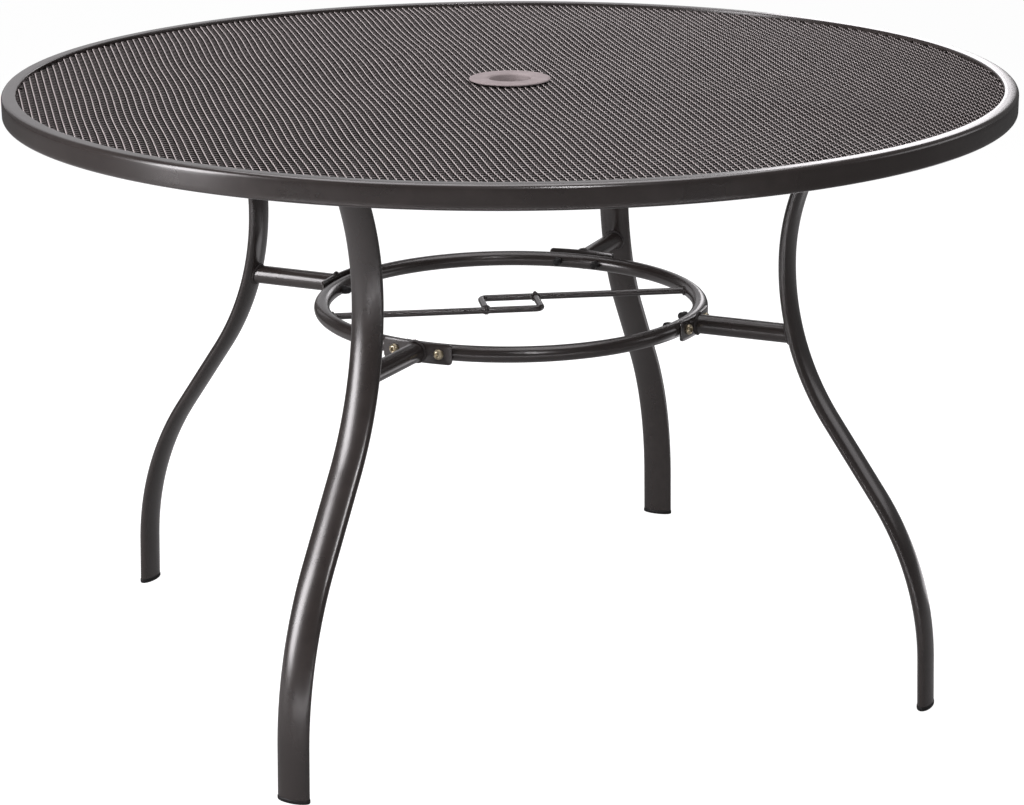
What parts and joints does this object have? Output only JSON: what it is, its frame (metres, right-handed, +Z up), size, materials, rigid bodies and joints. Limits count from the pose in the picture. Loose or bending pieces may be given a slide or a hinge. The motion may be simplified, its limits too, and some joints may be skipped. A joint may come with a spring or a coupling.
{
  "type": "umbrella table",
  "caption": "Round patio table with an expanded-metal top in a tube rim, umbrella hole with lift-out insert, S-curved oval legs and a stabiliser ring that keeps the pole upright.",
  "frame": {"origin": "on the floor, under the centre of the table top", "axes": "+Z up; the legs stand near the diagonals of X and Y, up to 2 degrees off them; the front is -Y"},
  "size_m": [1.2, 1.2, 0.7203],
  "materials": {
    "powder_coat": "semi-gloss anthracite-brown powder coat",
    "powder_coat_mesh": "semi-gloss anthracite-brown powder coat on expanded metal",
    "insert_plastic": "fine-grained taupe-grey moulded plastic",
    "black_plastic": "satin black moulded plastic",
    "yellow_zinc": "yellow-passivated zinc plate",
    "bolt_steel": "zinc-plated steel"
  },
  "bodies": {
    "table": {"rim_frame": "powder_coat", "mesh_top": "powder_coat_mesh", "hub_ring": "powder_coat", "support_bar_front_left": "powder_coat", "leg_plate_front_left": "powder_coat", "leg_bolt_inner_front_left": "bolt_steel", "leg_bolt_outer_front_left": "bolt_steel", "leg_front_left": "powder_coat", "foot_cap_front_left": "black_plastic", "brace_front_left": "powder_coat", "ring_bracket_front_left": "powder_coat", "ring_bolt_a_front_left": "yellow_zinc", "ring_bolt_b_front_left": "yellow_zinc", "cap_nut_a_front_left": "black_plastic", "cap_nut_b_front_left": "black_plastic", "support_bar_front_right": "powder_coat", "leg_plate_front_right": "powder_coat", "leg_bolt_inner_front_right": "bolt_steel", "leg_bolt_outer_front_right": "bolt_steel", "leg_front_right": "powder_coat", "foot_cap_front_right": "black_plastic", "brace_front_right": "powder_coat", "ring_bracket_front_right": "powder_coat", "ring_bolt_a_front_right": "yellow_zinc", "ring_bolt_b_front_right": "yellow_zinc", "cap_nut_a_front_right": "black_plastic", "cap_nut_b_front_right": "black_plastic", "support_bar_back_right": "powder_coat", "leg_plate_back_right": "powder_coat", "leg_bolt_inner_back_right": "bolt_steel", "leg_bolt_outer_back_right": "bolt_steel", "leg_back_right": "powder_coat", "foot_cap_back_right": "black_plastic", "brace_back_right": "powder_coat", "ring_bracket_back_right": "powder_coat", "ring_bolt_a_back_right": "yellow_zinc", "ring_bolt_b_back_right": "yellow_zinc", "cap_nut_a_back_right": "black_plastic", "cap_nut_b_back_right": "black_plastic", "support_bar_back_left": "powder_coat", "leg_plate_back_left": "powder_coat", "leg_bolt_inner_back_left": "bolt_steel", "leg_bolt_outer_back_left": "bolt_steel", "leg_back_left": "powder_coat", "foot_cap_back_left": "black_plastic", "brace_back_left": "powder_coat", "ring_bracket_back_left": "powder_coat", "ring_bolt_a_back_left": "yellow_zinc", "ring_bolt_b_back_left": "yellow_zinc", "cap_nut_a_back_left": "black_plastic", "cap_nut_b_back_left": "black_plastic", "stabiliser_ring": "powder_coat", "keeper_rod_front": "powder_coat", "keeper_rod_back": "powder_coat"},
    "insert": {"umbrella_insert": "insert_plastic"}
  },
  "joints": [
    {"name": "umbrella_insert_lift", "type": "slide", "parent": "table", "child": "insert", "axis": [0, 0, 1], "range_m": [0, 0.03]}
  ]
}
